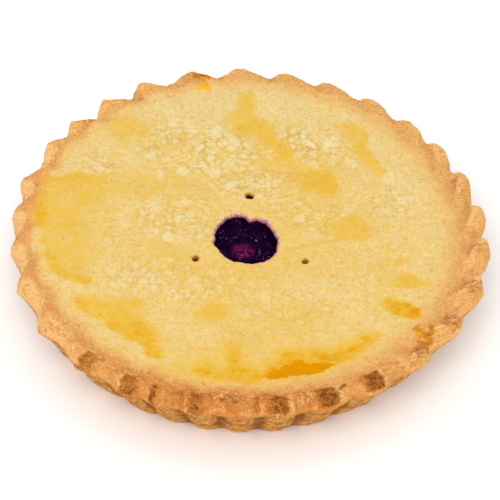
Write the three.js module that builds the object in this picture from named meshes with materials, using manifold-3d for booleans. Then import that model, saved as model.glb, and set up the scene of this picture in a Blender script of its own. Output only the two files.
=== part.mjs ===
// A round blueberry pie as it comes out of its tin: one pastry crust with a pinched, fluted edge
// and a ribbed side wall, filled from wall to wall with berries that show in the hole of its lid.
// Millimetres, +Z up. The origin is the middle of the flat underside. Angles run
// counter-clockwise from +X, and the pie's front is at 270 degrees.
import * as THREE from 'three';
import { mergeVertices } from 'three/addons/utils/BufferGeometryUtils.js';
import Module from 'manifold-3d';

// ---------------------------------------------------------------- driving dimensions

const RIM_RADIUS = 102.4; // mean radius of the fluted edge
const RIM_HEIGHT = 30; // height of the edge's lower lip
const RIM_WAVE = { count: 3, size: 0.9, angle: 110 }; // the rim is not quite round
const BASE_RADIUS = 84.5; // mean radius of the underside
const BASE_SHIFT = -1.5; // the case sits this far off the lid's middle, along X
const BASE_ROUNDING = 2.5; // rounding where the side wall turns under

// The flutes: where each pinched tip points, in degrees.
const FLUTE_ANGLES = [
  -1, 10.5, 22.5, 35, 46, 58.5, 70.5, 82, 94, 106.5,
  120, 130.5, 141.5, 151, 165.5, 176.5, 188, 200.5, 214.5, 228.5,
  242, 250.5, 260, 270, 280.5, 291.5, 304.5, 318, 332, 345.5,
];
const FLUTE_STEPS = [0, 0.11, 0.27, 0.5, 0.73, 0.89]; // columns from one tip to the next
const TIP_SHARPNESS = 1.3; // above 1 the tips are narrow and the valleys wide
const TIP_SHARPENING = 0.4; // the tips get sharper towards the pie's left side
const FLUTE_JITTER = 0.4; // share by which the swing differs from flute to flute
// A flute falls faster on one side than on the other: this way round the right side of the pie,
// and the other way about its left, which is furthest along at this angle.
const FLUTE_LEAN = { mean: 0.04, swing: 0.1, angle: 202 };
const FLUTE_TWIST = -4; // degrees by which a flute's inner end lies behind its outer end

// The lines that run round the rim. Each has a mean radius and height, and swings out and up at
// a tip and in and down in a valley.
const CREST = { radius: 96.4, swing: 0.6, height: 35.7, rise: 0.4 }; // inner edge of its top
const SHOULDER = { radius: 101.3, swing: 2, height: 35.2, rise: 0.5 }; // outer edge of its top
const LIP = { radius: RIM_RADIUS, swing: 2.3, height: RIM_HEIGHT, rise: 1.2 }; // lower edge
const FRONT_VALLEYS = { angle: 272, halfWidth: 45, fill: 0.55 }; // the lip's valleys are shallow here
const GROOVE_DEPTH = 0.3; // dip between the lid and the crest
const GROOVE_FADE = 0.6; // it is deeper by this share at a valley and shallower at a tip
const TOP_BOW = 0.35; // the rim's top bows up by this much between crest and shoulder
const FACET_BOW = 0.8; // below 1 the facet under the shoulder bows outwards
const LIP_ROUNDING = { inset: 0.9, drop: 1.6 }; // how the lip turns under
// Rings of points across the rim: from the lid to the crest, to the shoulder and to the lip.
const RIM_SHARES = { inner: [0.45, 0.8, 1], top: [0.5, 1], facet: [0.5, 1] };

// Places where the rim is pushed in: four notches between flutes and two long flat spots.
const DENTS = [
  { angle: 137, halfWidth: 3, depth: 3 },
  { angle: 123.5, halfWidth: 2.2, depth: 1.4 },
  { angle: 101.5, halfWidth: 2, depth: 0.8 },
  { angle: 219.5, halfWidth: 2.4, depth: 1.1 },
  { angle: 194, halfWidth: 12, depth: 0.9 },
  { angle: 322, halfWidth: 14, depth: 1.3 },
];
const DENT_DROP = 0.4; // share of a dent's depth by which it lowers the crest
const DENT_IN_WALL = 0.5; // share of it that goes on into the side wall's top
// Stretches where the flutes swing less.
const WEAK_FLUTES = [
  { angle: 324, halfWidth: 17, share: 0.45 },
  { angle: 350, halfWidth: 12, share: 0.2 },
  { angle: 78, halfWidth: 22, share: 0.3 },
  { angle: 179, halfWidth: 18, share: 0.35 },
];

const LID_RADIUS = 92.5; // where the lid meets the rim
const LID_HEIGHT = 34.6; // height of the lid at that line
const LID_SAG = 2.1; // the lid's middle lies this much lower
const LID_THICKNESS = 3.2;
const LID_RINGS = [9, 18, 30, 42, 54, 65, 75, 84, LID_RADIUS]; // rings of points on the lid
const HALF_RING_RADIUS = 60; // inside this radius a ring has half the points
const QUARTER_RING_RADIUS = 25; // and inside this one a quarter
const SWELL_HEIGHT = 0.55; // slow swells of the lid over the berries
const SWELLS = [
  { length: 37, heading: 20, phase: 0.4 },
  { length: 29, heading: 95, phase: 2.1 },
  { length: 23, heading: 155, phase: 4.0 },
  { length: 18, heading: 50, phase: 1.2 },
];

const NECK_RADIUS = 96.5; // side wall just under the lip
const NECK_DROP = 3.5; // how far the neck lies below the lip
const WALL_BULGE = 2.4; // how far the wall bows out between neck and base
const RIB_SWING = 2.1; // ribs of the side wall under the flutes, at the neck
const RIB_SWING_BASE = 0.9; // the same at the underside
const RIB_FULLNESS = 1.6; // above 1 the ribs are wide and the grooves between them narrow
const WALL_ROWS = 4;
const CRUMBLE = { radius: 0.3, height: 0.15 }; // the baked edge is uneven by this much

const HOLE_RADIUS = 13.9; // hole in the middle of the lid
const HOLE_CENTRE = [-1, 0.4];
// How its outline wanders in and out.
const HOLE_LOBES = [
  { size: 0.45, count: 3, phase: 0.6 },
  { size: 0.27, count: 5, phase: 2 },
];
// Where it is wider or narrower than a circle, with a small tongue of pastry at the back.
const HOLE_BUMPS = [
  { angle: 312, halfWidth: 30, size: 3.1 },
  { angle: 250, halfWidth: 24, size: 0.9 },
  { angle: 197, halfWidth: 8, size: 0.6 },
  { angle: 145, halfWidth: 22, size: -0.9 },
  { angle: 108, halfWidth: 9, size: 0.6 },
  { angle: 81, halfWidth: 9, size: -1.4 },
  { angle: 68, halfWidth: 12, size: -0.5 },
  { angle: 46, halfWidth: 20, size: -0.8 },
  { angle: 15, halfWidth: 22, size: -1.3 },
];
const HOLE_CLEARANCE = 2.2; // the filling's swelling ends this far inside the hole's mean radius
const VENT_RADIUS = 1.6; // pricked vents round the hole
const VENTS = [
  { angle: 90, distance: 25, depth: 8 },
  { angle: 213, distance: 26.2, depth: 8 },
  { angle: 333, distance: 28.4, depth: 1.9 }, // this one baked shut
];

const WALL_THICKNESS = 6.5;
const FLOOR_THICKNESS = 4.5;
const FILLING_TAPER = 7.5; // the filling's top edge lies this much further in than the neck's inside
const CORNER_ROUNDING = 7; // rounding of the filling's lower edge
const CORNER_TURNS = [30, 60, 90]; // points on that rounding, in degrees
const GAP = 0.3; // clearance between filling and crust
const FILLING_SEGMENTS = 60;
const FILLING_TOP_SHARES = [0.92, 0.75, 0.5, 0.25]; // rings of points on the filling's top
const FILLING_BULGE = 1.2; // the filling swells this far up into the hole
const SWELLING = [[1, 0.25], [0.8, 0.75], [0.4, 0.95], [0, 1]]; // its form: shares of reach and rise
const BERRY_LEVEL = 0.8; // share of the swelling's rise from which the berries' tops are measured
const BERRY_RADIUS = 5;
const BERRY_SUNK = 3.6; // how far a berry's middle lies below its top
const BERRIES = [
  { angle: 262, distance: 6.2, top: 1.2 },
  { angle: 20, distance: 6.6, top: 0.7 },
  { angle: 85, distance: 5.6, top: 0.5 },
  { angle: 150, distance: 6.4, top: 0.9 },
  { angle: 205, distance: 6.8, top: 0.6 },
  { angle: 318, distance: 6.9, top: 0.8 },
];

const CUT_DEPTH = 12; // the hole's cutter starts this far below the lid, inside the filling's space
const CUT_ABOVE = 8; // and all cutters end this far above it
const VENT_SIDES = 10;
const HOLE_SIDES = 40;
const DRAW_SEED = 4.7; // the fixed draws for what differs from flute to flute
const DRAW_TURN = 12.9898;
const DRAW_SCALE = 43758.5453;

// ---------------------------------------------------------------- small helpers

const radians = (degrees) => THREE.MathUtils.degToRad(degrees);
const lerp = THREE.MathUtils.lerp;

// A fixed draw between 0 and 1 for each whole number.
function draw(number) {
  const wave = Math.sin((number + DRAW_SEED) * DRAW_TURN) * DRAW_SCALE;
  return wave - Math.floor(wave);
}

// Slow swells that run over the whole lid, between -1 and 1.
function swell(x, y) {
  const waves = SWELLS.map(({ length, heading, phase }) => {
    const along = x * Math.cos(radians(heading)) + y * Math.sin(radians(heading));
    return Math.sin((2 * Math.PI * along) / length + phase);
  });
  return waves.reduce((sum, wave) => sum + wave, 0) / waves.length;
}

// 1 at a place's angle, fading to 0 on both sides of it.
function nearness(degrees, { angle, halfWidth }) {
  const away = THREE.MathUtils.euclideanModulo(degrees - angle + 180, 360) - 180;
  return Math.exp(-Math.pow(away / halfWidth, 2));
}

// ---------------------------------------------------------------- the flutes

// The rim's shape at one angle: how far the edge swings out (1 at a tip, -1 in a valley), how far
// the rib under it swings, how much the rim is out of round, and how far it is dented in.
function fluteAt(index, step) {
  const next = (index + 1) % FLUTE_ANGLES.length;
  const start = FLUTE_ANGLES[index];
  const end = FLUTE_ANGLES[next] + (next === 0 ? 360 : 0);
  const degrees = lerp(start, end, step);
  const angle = radians(degrees);
  const sharpness = TIP_SHARPNESS - TIP_SHARPENING * Math.cos(angle);
  const lean = FLUTE_LEAN.mean - FLUTE_LEAN.swing * Math.cos(angle - radians(FLUTE_LEAN.angle));
  const leaning = step + lean * Math.pow(Math.sin(Math.PI * step), 2);
  const share = Math.pow(Math.cos(Math.PI * leaning), 2);
  const jitter = 1 + FLUTE_JITTER * (lerp(draw(index), draw(next), step) - 0.5);
  const dent = DENTS.reduce((sum, place) => sum + place.depth * nearness(degrees, place), 0);
  const weakness = WEAK_FLUTES.map((place) => 1 - place.share * nearness(degrees, place));
  const strength = weakness.reduce((product, factor) => product * factor, 1);
  const swing = strength * jitter * (2 * Math.pow(share, sharpness) - 1);
  const fill = FRONT_VALLEYS.fill * nearness(degrees, FRONT_VALLEYS);
  return {
    angle,
    uneven: RIM_WAVE.size * Math.cos(RIM_WAVE.count * (angle - radians(RIM_WAVE.angle))),
    swing,
    lipSwing: lerp(swing, 1, fill),
    rib: 1 - 2 * Math.pow(1 - share, RIB_FULLNESS),
    dent,
  };
}

function fluteColumns() {
  return FLUTE_ANGLES.flatMap((_, index) => FLUTE_STEPS.map((step) => fluteAt(index, step)));
}

// ---------------------------------------------------------------- the crust's profile

// Height of the lid at a radius, without its swells.
function lidHeight(radius) {
  return LID_HEIGHT - LID_SAG * (1 - Math.pow(radius / LID_RADIUS, 2));
}

// A point of the lid. Its rings are turned as far as the flutes' inner ends.
function lidPoint(column, radius) {
  const x = radius * Math.cos(column.angle + radians(FLUTE_TWIST));
  const y = radius * Math.sin(column.angle + radians(FLUTE_TWIST));
  return { radius, z: lidHeight(radius) + SWELL_HEIGHT * swell(x, y), turn: FLUTE_TWIST };
}

// A point on one of the lines round the rim.
function rimLinePoint(column, line, swing) {
  return {
    radius: line.radius + column.uneven + line.swing * swing - column.dent,
    z: line.height + line.rise * swing - DENT_DROP * column.dent,
  };
}

const crestPoint = (column) => rimLinePoint(column, CREST, column.swing);
const shoulderPoint = (column) => rimLinePoint(column, SHOULDER, column.swing);
const lipPoint = (column) => rimLinePoint(column, LIP, column.lipSwing);

// Between the lid and the crest.
function innerRimPoint(column, share) {
  const lid = lidPoint(column, LID_RADIUS);
  const crest = crestPoint(column);
  const depth = GROOVE_DEPTH * (1 - GROOVE_FADE * column.swing);
  return {
    radius: lerp(lid.radius, crest.radius, share),
    z: lerp(lid.z, crest.z, share) - depth * Math.sin(Math.PI * share),
    turn: FLUTE_TWIST,
  };
}

// The rim's top, between the crest and the shoulder.
function topRimPoint(column, share) {
  const crest = crestPoint(column);
  const shoulder = shoulderPoint(column);
  return {
    radius: lerp(crest.radius, shoulder.radius, share),
    z: lerp(crest.z, shoulder.z, share) + TOP_BOW * Math.sin(Math.PI * share),
    turn: FLUTE_TWIST * (1 - share),
  };
}

// Between the shoulder and the lip: a facet that gets steeper downwards.
function facetPoint(column, share) {
  const shoulder = shoulderPoint(column);
  const lip = lipPoint(column);
  return {
    radius: lerp(shoulder.radius, lip.radius, Math.pow(share, FACET_BOW)),
    z: lerp(shoulder.z, lip.z, share),
  };
}

// The side wall, from the neck under the lip (share 0) down to the underside (share 1).
function wallPoint(column, share) {
  const swing = lerp(RIB_SWING, RIB_SWING_BASE, share) * column.rib;
  const bulge = WALL_BULGE * Math.sin(Math.PI * share);
  const shift = share * BASE_SHIFT * Math.cos(column.angle);
  const pinch = (1 - share) * (column.uneven - DENT_IN_WALL * column.dent);
  return {
    radius: lerp(NECK_RADIUS, BASE_RADIUS, share) + bulge + swing + shift + pinch,
    z: lerp(RIM_HEIGHT - NECK_DROP, BASE_ROUNDING, share),
  };
}

function underLipPoint(column) {
  const lip = lipPoint(column);
  return { radius: lip.radius - LIP_ROUNDING.inset, z: lip.z - LIP_ROUNDING.drop };
}

function basePoint(column, inset) {
  return { radius: wallPoint(column, 1).radius - inset, z: 0 };
}

// ---------------------------------------------------------------- meshes from rings

// One ring of points round the Z axis, on every so many columns.
function ring(columns, every, pointAt) {
  const points = [];
  for (let index = 0; index < columns.length; index += every) {
    const { radius, z, turn = 0 } = pointAt(columns[index]);
    const angle = columns[index].angle + radians(turn);
    points.push([radius * Math.cos(angle), radius * Math.sin(angle), z]);
  }
  return points;
}

// The same for the baked edge and wall, where each point is pushed in or out a little.
function crumblyRing(columns, row, pointAt) {
  return ring(columns, 1, (column) => {
    const point = pointAt(column);
    const push = 2 * draw(columns.indexOf(column) + row * columns.length) - 1;
    point.radius += CRUMBLE.radius * push;
    point.z += CRUMBLE.height * push;
    return point;
  });
}

// Joins two neighbouring rings. One may have a whole multiple of the other's points.
function stitchRings(triangles, first, second) {
  const coarse = first.length <= second.length ? first : second;
  const fine = first.length <= second.length ? second : first;
  const outwards = coarse === first;
  const ratio = fine.length / coarse.length;
  const half = Math.ceil(ratio / 2);
  const add = (a, b, c) => triangles.push(...(outwards ? [a, b, c] : [a, c, b]));
  for (let index = 0; index < coarse.length; index += 1) {
    const here = coarse[index];
    const there = coarse[(index + 1) % coarse.length];
    for (let step = 0; step < ratio; step += 1) {
      const from = fine[index * ratio + step];
      const to = fine[(index * ratio + step + 1) % fine.length];
      add(step < half ? here : there, from, to);
    }
    if (here !== there) {
      add(here, fine[(index * ratio + half) % fine.length], there);
    }
  }
}

// A closed surface from rings that run from the top's middle, over the edge, to the bottom's.
function ringSurface(rings) {
  const positions = [];
  const indexRings = rings.map((points) =>
    points.map((point) => positions.push(...point) / 3 - 1),
  );
  const triangles = [];
  for (let index = 0; index + 1 < indexRings.length; index += 1) {
    stitchRings(triangles, indexRings[index], indexRings[index + 1]);
  }
  const geometry = new THREE.BufferGeometry();
  geometry.setAttribute('position', new THREE.Float32BufferAttribute(positions, 3));
  geometry.setIndex(triangles);
  return geometry;
}

// ---------------------------------------------------------------- solids for joining and cutting

const wasm = await Module();
wasm.setup();

function toSolid(geometry) {
  geometry.deleteAttribute('normal');
  geometry.deleteAttribute('uv');
  const merged = mergeVertices(geometry);
  return new wasm.Manifold(
    new wasm.Mesh({
      numProp: 3,
      vertProperties: new Float32Array(merged.attributes.position.array),
      triVerts: new Uint32Array(merged.index.array),
    }),
  );
}

function toGeometry(solid) {
  const mesh = solid.getMesh();
  const geometry = new THREE.BufferGeometry();
  geometry.setAttribute('position', new THREE.BufferAttribute(mesh.vertProperties, 3));
  geometry.setIndex(new THREE.BufferAttribute(mesh.triVerts, 1));
  geometry.computeVertexNormals();
  return geometry;
}

// A body of revolution about Z from a profile of [radius, z] that starts and ends on the axis.
function revolved(profile, segments) {
  const points = profile.map(([radius, z]) => new THREE.Vector2(radius, z));
  return new THREE.LatheGeometry(points, segments).rotateX(Math.PI / 2);
}

// ---------------------------------------------------------------- the crust

function crustOutside() {
  const columns = fluteColumns();
  const rings = [[[0, 0, lidPoint(columns[0], 0).z]]];
  for (const radius of LID_RINGS) {
    const fewer = radius < QUARTER_RING_RADIUS ? 4 : 2;
    const every = radius < HALF_RING_RADIUS ? fewer : 1;
    rings.push(ring(columns, every, (column) => lidPoint(column, radius)));
  }
  const baked = [
    ...RIM_SHARES.inner.map((share) => (column) => innerRimPoint(column, share)),
    ...RIM_SHARES.top.map((share) => (column) => topRimPoint(column, share)),
    ...RIM_SHARES.facet.map((share) => (column) => facetPoint(column, share)),
    underLipPoint,
  ];
  for (let row = 0; row < WALL_ROWS; row += 1) {
    baked.push((column) => wallPoint(column, row / WALL_ROWS));
  }
  baked.forEach((pointAt, row) => rings.push(crumblyRing(columns, row, pointAt)));
  rings.push(ring(columns, 1, (column) => wallPoint(column, 1)));
  rings.push(ring(columns, 1, (column) => basePoint(column, BASE_ROUNDING)));
  rings.push(ring(columns, 4, () => ({ radius: BASE_RADIUS / 2, z: 0 })));
  rings.push([[0, 0, 0]]);
  return ringSurface(rings);
}

// The filling's profile, drawn in on all sides by an inset.
function fillingProfile(inset) {
  const side = BASE_RADIUS - WALL_THICKNESS - inset;
  const floor = FLOOR_THICKNESS + inset;
  const top = (radius) => lidHeight(radius) - LID_THICKNESS - inset;
  const upperSide = NECK_RADIUS - WALL_THICKNESS - FILLING_TAPER - inset;
  const profile = [[0, floor], [side - CORNER_ROUNDING, floor]];
  for (const turn of CORNER_TURNS) {
    const across = side - CORNER_ROUNDING * (1 - Math.sin(radians(turn)));
    profile.push([across, floor + CORNER_ROUNDING * (1 - Math.cos(radians(turn)))]);
  }
  profile.push([upperSide, top(upperSide) - CORNER_ROUNDING]);
  for (const share of FILLING_TOP_SHARES) {
    profile.push([share * upperSide, top(share * upperSide)]);
  }
  profile.push([0, top(0)]);
  return profile;
}

// The hole's outline wanders a little in and out, as a cutter leaves it in soft dough.
function holeCutter() {
  const shape = new THREE.Shape();
  const outline = [];
  for (let side = 0; side < HOLE_SIDES; side += 1) {
    const angle = (2 * Math.PI * side) / HOLE_SIDES;
    const degrees = THREE.MathUtils.radToDeg(angle);
    const lobes = HOLE_LOBES.map(({ size, count, phase }) => size * Math.sin(count * angle + phase));
    const bumps = HOLE_BUMPS.map((place) => place.size * nearness(degrees, place));
    const radius = [...lobes, ...bumps].reduce((sum, part) => sum + part, HOLE_RADIUS);
    outline.push(new THREE.Vector2(radius * Math.cos(angle), radius * Math.sin(angle)));
  }
  shape.setFromPoints(outline);
  const depth = CUT_DEPTH + CUT_ABOVE;
  const cutter = new THREE.ExtrudeGeometry(shape, { depth, bevelEnabled: false });
  return cutter.translate(HOLE_CENTRE[0], HOLE_CENTRE[1], lidHeight(0) - CUT_DEPTH);
}

function ventCutter({ angle, distance, depth }) {
  const height = depth + CUT_ABOVE;
  const cutter = new THREE.CylinderGeometry(VENT_RADIUS, VENT_RADIUS, height, VENT_SIDES);
  cutter.rotateX(Math.PI / 2);
  const x = distance * Math.cos(radians(angle));
  const y = distance * Math.sin(radians(angle));
  return cutter.translate(x, y, lidHeight(distance) - depth + height / 2);
}

function crustGeometry() {
  let crust = toSolid(crustOutside());
  crust = crust.subtract(toSolid(revolved(fillingProfile(0), FILLING_SEGMENTS)));
  crust = crust.subtract(toSolid(holeCutter()));
  for (const vent of VENTS) {
    crust = crust.subtract(toSolid(ventCutter(vent)));
  }
  return toGeometry(crust);
}

// ---------------------------------------------------------------- the filling

// The swelling in the hole, a low dome that starts inside the filling.
function fillingSwelling() {
  const reach = HOLE_RADIUS - HOLE_CLEARANCE;
  const level = lidHeight(0) - LID_THICKNESS - GAP;
  const profile = [
    [0, level - CORNER_ROUNDING],
    [reach, level - CORNER_ROUNDING],
    ...SWELLING.map(([out, up]) => [out * reach, level + up * FILLING_BULGE]),
  ];
  const swelling = revolved(profile, HOLE_SIDES);
  return swelling.translate(HOLE_CENTRE[0], HOLE_CENTRE[1], 0);
}

// A berry whose crown stands out of the swelling by its top.
function berry({ angle, distance, top }) {
  const ball = new THREE.IcosahedronGeometry(BERRY_RADIUS, 2);
  const level = lidHeight(0) - LID_THICKNESS - GAP + BERRY_LEVEL * FILLING_BULGE;
  const x = HOLE_CENTRE[0] + distance * Math.cos(radians(angle));
  const y = HOLE_CENTRE[1] + distance * Math.sin(radians(angle));
  return ball.scale(1, 1, BERRY_SUNK / BERRY_RADIUS).translate(x, y, level + top - BERRY_SUNK);
}

function fillingGeometry() {
  let filling = toSolid(revolved(fillingProfile(GAP), FILLING_SEGMENTS));
  filling = filling.add(toSolid(fillingSwelling()));
  for (const place of BERRIES) {
    filling = filling.add(toSolid(berry(place)));
  }
  return toGeometry(filling);
}

// ---------------------------------------------------------------- the pie

const pastry = new THREE.MeshStandardMaterial({ color: 0xe6bd78, roughness: 0.75, metalness: 0 });
const fruit = new THREE.MeshStandardMaterial({ color: 0x2a0a3a, roughness: 0.25, metalness: 0 });

function namedMesh(name, geometry, material) {
  const mesh = new THREE.Mesh(geometry, material);
  mesh.name = name;
  return mesh;
}

const group = new THREE.Group();
group.add(namedMesh('crust', crustGeometry(), pastry));
group.add(namedMesh('filling', fillingGeometry(), fruit));

export default group;
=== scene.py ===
# A round blueberry pie with a fluted, browned edge and a patchy egg wash, on a pale floor.
# Lengths are in millimetres and angles in degrees, in the frame's own axes: the pie's front is at
# 270 degrees. Meshes are scaled to metres as they are made.
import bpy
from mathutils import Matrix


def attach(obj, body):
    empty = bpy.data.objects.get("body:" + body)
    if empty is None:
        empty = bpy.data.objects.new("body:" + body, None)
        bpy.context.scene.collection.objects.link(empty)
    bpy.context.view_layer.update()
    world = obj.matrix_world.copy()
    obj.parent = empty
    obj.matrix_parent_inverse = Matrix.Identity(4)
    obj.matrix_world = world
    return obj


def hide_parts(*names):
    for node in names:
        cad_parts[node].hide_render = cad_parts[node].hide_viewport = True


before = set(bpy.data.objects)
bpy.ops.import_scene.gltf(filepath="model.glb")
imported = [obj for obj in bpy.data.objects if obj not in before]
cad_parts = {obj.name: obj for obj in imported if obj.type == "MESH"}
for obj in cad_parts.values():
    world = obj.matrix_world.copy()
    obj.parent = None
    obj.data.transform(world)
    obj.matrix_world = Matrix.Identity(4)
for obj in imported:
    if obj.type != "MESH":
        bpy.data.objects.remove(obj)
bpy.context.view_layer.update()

import copy
import math

import bpy
import numpy as np
from mathutils import Matrix, Vector, noise

MM = 0.001

# ---------------- driving dimensions

RIM_RADIUS = 102.4  # mean radius of the fluted edge
RIM_HEIGHT = 30  # height of the edge's lower lip
RIM_WAVE = {"count": 3, "size": 0.9, "angle": 110}
BASE_RADIUS = 84.5
BASE_SHIFT = -1.5
BASE_ROUNDING = 2.5
FLUTE_ANGLES = [
    -1, 10.5, 22.5, 35, 46, 58.5, 70.5, 82, 94, 106.5,
    120, 130.5, 141.5, 151, 165.5, 176.5, 188, 200.5, 214.5, 228.5,
    242, 250.5, 260, 270, 280.5, 291.5, 304.5, 318, 332, 345.5,
]
COLUMNS_PER_FLUTE = 24
TIP_SHARPNESS = 1.3
TIP_SHARPENING = 0.4
POINTED = 0.75  # share of a pointed form in the left side's flutes
FLUTE_JITTER = 0.4
FLUTE_LEAN = {"mean": 0.04, "swing": 0.1, "angle": 202}
FLUTE_TWIST = -4
CREST = {"radius": 96.4, "swing": 0.6, "height": 35.7, "rise": 0.4}
SHOULDER = {"radius": 101.3, "swing": 2, "height": 35.2, "rise": 0.5}
LIP = {"radius": RIM_RADIUS, "swing": 2.3, "height": RIM_HEIGHT, "rise": 1.2}
FRONT_ANGLE = 272
FRONT_VALLEYS = {"angle": FRONT_ANGLE, "half_width": 45, "fill": 0.55}
# A flute's top is a flat block that falls off steeply on the side away from the pie's front and
# climbs slowly to the next: shares of the way from one tip to the next, and the height of it.
FLUTE_FALL = (0.2, 0.3)
FLUTE_CLIMB = (0.3, 0.85)
LEDGE_HEIGHT = 0.45
LEDGE_SPREAD = 0.6  # share of it that lifts the crest and widens the shoulder
GROOVE_DEPTH = 0.3
GROOVE_FADE = 0.6
TOP_BOW = 0.35
FACET_BOW = 0.8
# Places where the rim is pushed in: angle, half width and depth.
DENTS = [
    (137, 3, 3), (123.5, 2.2, 1.4), (101.5, 2, 0.8), (219.5, 2.4, 1.1), (194, 12, 0.9),
    (322, 14, 1.3),
]
DENT_DROP = 0.4  # share of a dent's depth by which it lowers the rim
DENT_IN_WALL = 0.5  # share of it that goes on into the side wall's top
# Stretches where the flutes swing less: angle, half width and share.
WEAK_FLUTES = [(324, 17, 0.45), (350, 12, 0.2), (78, 22, 0.3), (44, 26, 0.4), (179, 18, 0.35)]
LID_RADIUS = 92.5
LID_HEIGHT = 34.6
LID_SAG = 2.1
LID_THICKNESS = 3.2
SWELL_HEIGHT = 0.55
SWELLS = [(37, 20, 0.4), (29, 95, 2.1), (23, 155, 4), (18, 50, 1.2)]  # length, heading, phase
NECK_RADIUS = 96.5
NECK_DROP = 3.5
WALL_BULGE = 2.4
RIB_SWING = 2.1
RIB_SWING_BASE = 0.9
RIB_FULLNESS = 1.6
WALL_THICKNESS = 6.5
FLOOR_THICKNESS = 4.5
FILLING_TAPER = 7.5
CORNER_ROUNDING = 7
GAP = 0.3
HOLE_RADIUS = 13.9
HOLE_CENTRE = np.array([-1, 0.4])
HOLE_LOBES = [  # size, count, phase
    (0.45, 3, 0.6), (0.27, 5, 2), (0.14, 9, 1), (0.13, 14, 2.5), (0.09, 23, 0.4), (0.07, 37, 1.9),
]
# Where the hole is wider or narrower than a circle: angle, half width, how much.
HOLE_BUMPS = [
    (312, 30, 3.1), (250, 24, 0.9), (197, 8, 0.6), (145, 22, -0.9), (108, 9, 0.6), (81, 9, -2.8),
    (68, 12, -0.5), (46, 20, -0.8), (15, 22, -1.3),
]
VENT_RADIUS = 1.6
VENTS = [(90, 25, 8), (213, 26.2, 8), (333, 28.4, 1.9)]  # angle, distance, depth
FILLING_BULGE = 1.2
BERRY_LEVEL = 0.8
BERRY_RADIUS = 5
BERRY_SUNK = 3.6
# Berries that stand out of the gel: angle, distance from the hole's middle, and how far.
BERRIES = [
    (262, 6.2, 1.2), (20, 6.6, 0.7), (85, 5.6, 0.5), (150, 6.4, 0.9), (205, 6.8, 0.6),
    (318, 6.9, 0.8),
]
# What makes the fixed draws and the cloudy noise.
DRAW_SEED = 4.7
DRAW_TURN = 12.9898
DRAW_SCALE = 43758.5453
CLOUD_FRACTAL = (0.8, 2)  # how fast the finer lumps weaken, and how much finer each kind is
CELL_LOT = (7.3, 3.1)
TINY = 0.01  # keeps a division from 0

# ---------------- helpers


def lerp(start, end, share):
    return start + (end - start) * share


def smoothstep(low, high, value):
    share = np.clip((value - low) / (high - low), 0, 1)
    return share * share * (3 - 2 * share)


def draw(number):
    """A fixed draw between 0 and 1 for each whole number."""
    wave = np.sin((number + DRAW_SEED) * DRAW_TURN) * DRAW_SCALE
    return wave - np.floor(wave)


def far_off(shift):
    """A place of its own in the noise for each shift."""
    return Vector((shift, 0.7 * shift, 1.3 * shift))


def clouds(points, size, shift, octaves=3):
    """Cloudy noise, about -1 to 1, with lumps of about that size."""
    start = far_off(shift)
    places = points / size
    return np.array([noise.fractal(Vector(p) + start, *CLOUD_FRACTAL, octaves) for p in places])


def terraces(height, steps):
    """The same height in steps with steep edges, as pastry breaks into ledges."""
    scaled = height * steps
    whole = np.floor(scaled)
    return (whole + smoothstep(0.3, 0.7, scaled - whole)) / steps


def cells(points, size, shift):
    """Distance to the border between cells of about that size, and one draw for each cell."""
    start = far_off(shift)
    border = np.empty(len(points))
    lot = np.empty(len(points))
    for index, place in enumerate(points / size):
        distances, centres = noise.voronoi(Vector(place) + start)
        border[index] = distances[1] - distances[0]
        lot[index] = centres[0][0] * CELL_LOT[0] + centres[0][1] * CELL_LOT[1]
    return border, lot - np.floor(lot)


def ellipses(x, y, places, fade=0.5):
    """How deep each point lies in ellipses: their strength in the middle, 0 outside.

    The edge fades over a share of the way out.
    """
    total = np.zeros(len(x))
    for at_x, at_y, long, wide, heading, strength in places:
        turn = math.radians(heading)
        along = (x - at_x) * math.cos(turn) + (y - at_y) * math.sin(turn)
        across = (y - at_y) * math.cos(turn) - (x - at_x) * math.sin(turn)
        distance = np.hypot(along / long, across / wide)
        depth = strength * smoothstep(1 + 0.5 * fade, 1 - fade, distance)
        total = total + depth - total * depth
    return total


def to_line(x, y, start, end):
    """The way in x and y from each point to the nearest one of a straight line."""
    (x0, y0), (x1, y1) = start, end
    span = (x1 - x0) ** 2 + (y1 - y0) ** 2
    share = np.clip(((x - x0) * (x1 - x0) + (y - y0) * (y1 - y0)) / span, 0, 1)
    return lerp(x0, x1, share) - x, lerp(y0, y1, share) - y


def patches(x, y, outlines):
    """How deep each point lies in outlined patches: their strength well inside, 0 outside.

    The edge has one width where it faces the pie's middle and another on the outer side.
    """
    radius = np.hypot(x, y) + TINY
    total = np.zeros(len(x))
    for strength, inner, outer, corners in outlines:
        nearest = np.full(len(x), np.inf)
        inside = np.zeros(len(x), bool)
        facing = np.zeros(len(x))
        weights = np.zeros(len(x))
        for start, end in zip(corners, corners[1:] + corners[:1]):
            to_x, to_y = to_line(x, y, start, end)
            away = np.hypot(to_x, to_y)
            nearest = np.minimum(nearest, away)
            weight = 1 / (0.5 + away) ** 4
            facing += weight * (to_x * x + to_y * y) / ((away + TINY) * radius)
            weights += weight
            (x0, y0), (x1, y1) = start, end
            if y0 != y1:
                inside ^= ((y0 > y) != (y1 > y)) & (x < lerp(x0, x1, (y - y0) / (y1 - y0)))
        outwards = np.where(inside, 1, -1) * facing / weights
        width = lerp(inner, outer, smoothstep(-0.3, 0.4, outwards))
        depth = np.where(inside, nearest, -nearest) / width
        total = np.maximum(total, strength * smoothstep(-0.35, 0.65, depth))
    return total


def strokes(x, y, paths):
    """How close each point is to the middle of drawn strokes, from 1 down to 0 at their width."""
    total = np.zeros(len(x))
    for width, strength, corners in paths:
        for start, end in zip(corners, corners[1:]):
            away = np.hypot(*to_line(x, y, start, end))
            total = np.maximum(total, strength * smoothstep(width, 0.25 * width, away))
    return total


def srgb(red, green, blue):
    """A colour as a screen shows it, from 0 to 255, as the linear values of a shader."""
    parts = [value / 255 for value in (red, green, blue)]
    linear = [p / 12.92 if p <= 0.04045 else ((p + 0.055) / 1.055) ** 2.4 for p in parts]
    return (*linear, 1)


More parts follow.
